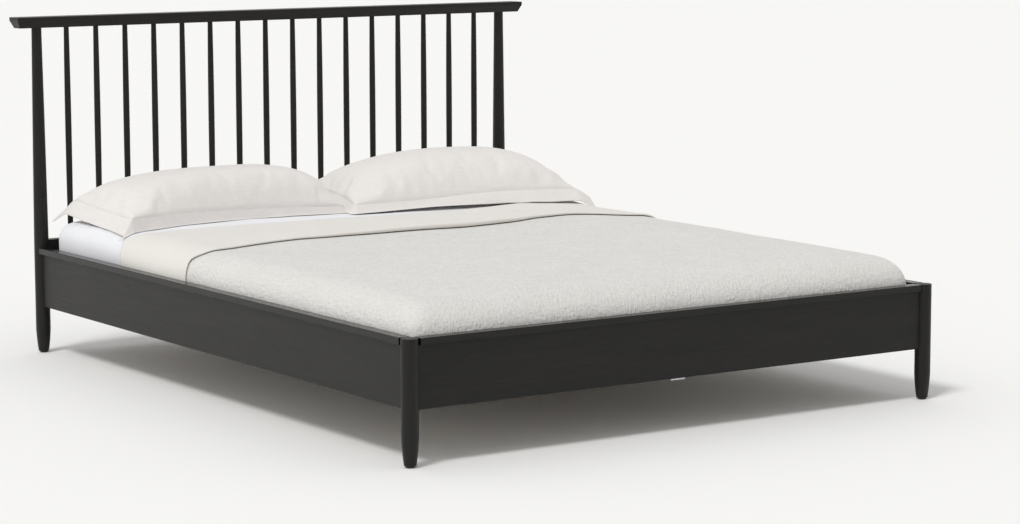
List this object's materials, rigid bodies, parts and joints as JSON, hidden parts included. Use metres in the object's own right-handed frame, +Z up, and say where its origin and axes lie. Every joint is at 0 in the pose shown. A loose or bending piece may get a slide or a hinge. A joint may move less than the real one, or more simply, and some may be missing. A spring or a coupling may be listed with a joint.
{
  "type": "spindle bed",
  "caption": "Wooden platform bed with a spindle headboard, turned legs, panelled rails and a slatted base, dressed with a mattress, coverlet and pillows.",
  "frame": {"origin": "on the floor, at the centre of the bed's outline", "axes": "+X across the bed, +Y from the foot to the headboard, +Z up"},
  "size_m": [1.78, 2.1276, 1.001],
  "materials": {
    "black_ash": "satin black-stained ash with open grain",
    "pine": "planed pine, unfinished",
    "zinc_steel": "zinc plated",
    "felt": "pressed felt",
    "webbing": "woven webbing",
    "mattress_ticking": "knitted ticking",
    "white_cotton": "smooth percale",
    "coverlet_cloth": "crinkled cotton",
    "turn_down_cloth": "plain woven cotton",
    "pillow_linen": "washed linen"
  },
  "bodies": {
    "bed_frame": {"beam_hangers": "zinc_steel", "brace_nuts": "zinc_steel", "centre_beam": "pine", "centre_leg_1": "black_ash", "centre_leg_2": "black_ash", "corner_braces": "zinc_steel", "crest_rail": "black_ash", "foot_panel": "black_ash", "foot_top_strip": "black_ash", "front_leg_left": "black_ash", "front_leg_right": "black_ash", "hanger_bolts": "zinc_steel", "head_post_left": "black_ash", "head_post_right": "black_ash", "headboard_lower_rail": "black_ash", "leg_glides": "felt", "side_panel_left": "black_ash", "side_panel_right": "black_ash", "side_top_strip_left": "black_ash", "side_top_strip_right": "black_ash", "slat_01": "pine", "slat_02": "pine", "slat_03": "pine", "slat_04": "pine", "slat_05": "pine", "slat_06": "pine", "slat_07": "pine", "slat_08": "pine", "slat_09": "pine", "slat_10": "pine", "slat_11": "pine", "slat_12": "pine", "slat_13": "pine", "slat_ledger_left": "pine", "slat_ledger_right": "pine", "slat_straps": "webbing", "spindle_01": "black_ash", "spindle_02": "black_ash", "spindle_03": "black_ash", "spindle_04": "black_ash", "spindle_05": "black_ash", "spindle_06": "black_ash", "spindle_07": "black_ash", "spindle_08": "black_ash", "spindle_09": "black_ash", "spindle_10": "black_ash", "spindle_11": "black_ash", "spindle_12": "black_ash", "spindle_13": "black_ash", "spindle_14": "black_ash", "spindle_15": "black_ash", "spindle_16": "black_ash"},
    "bedding": {"mattress": "mattress_ticking", "fitted_sheet": "white_cotton", "coverlet": "coverlet_cloth", "turn_down": "turn_down_cloth"},
    "pillow_left": {"pillow_left": "pillow_linen"},
    "pillow_right": {"pillow_right": "pillow_linen"},
    "levelling_foot_1": {"levelling_foot_1": "zinc_steel"},
    "levelling_foot_2": {"levelling_foot_2": "zinc_steel"}
  },
  "joints": [
    {"name": "bedding_lift", "type": "slide", "parent": "bed_frame", "child": "bedding", "axis": [0, 0, 1], "range_m": [0, 0.4]},
    {"name": "pillow_left_lift", "type": "slide", "parent": "bedding", "child": "pillow_left", "axis": [0, 0, 1], "range_m": [0, 0.35]},
    {"name": "pillow_right_lift", "type": "slide", "parent": "bedding", "child": "pillow_right", "axis": [0, 0, 1], "range_m": [0, 0.35]},
    {"name": "leveller_1_travel", "type": "slide", "parent": "bed_frame", "child": "levelling_foot_1", "axis": [0, 0, -1], "range_m": [0, 0.012]},
    {"name": "leveller_2_travel", "type": "slide", "parent": "bed_frame", "child": "levelling_foot_2", "axis": [0, 0, -1], "range_m": [0, 0.012]}
  ]
}
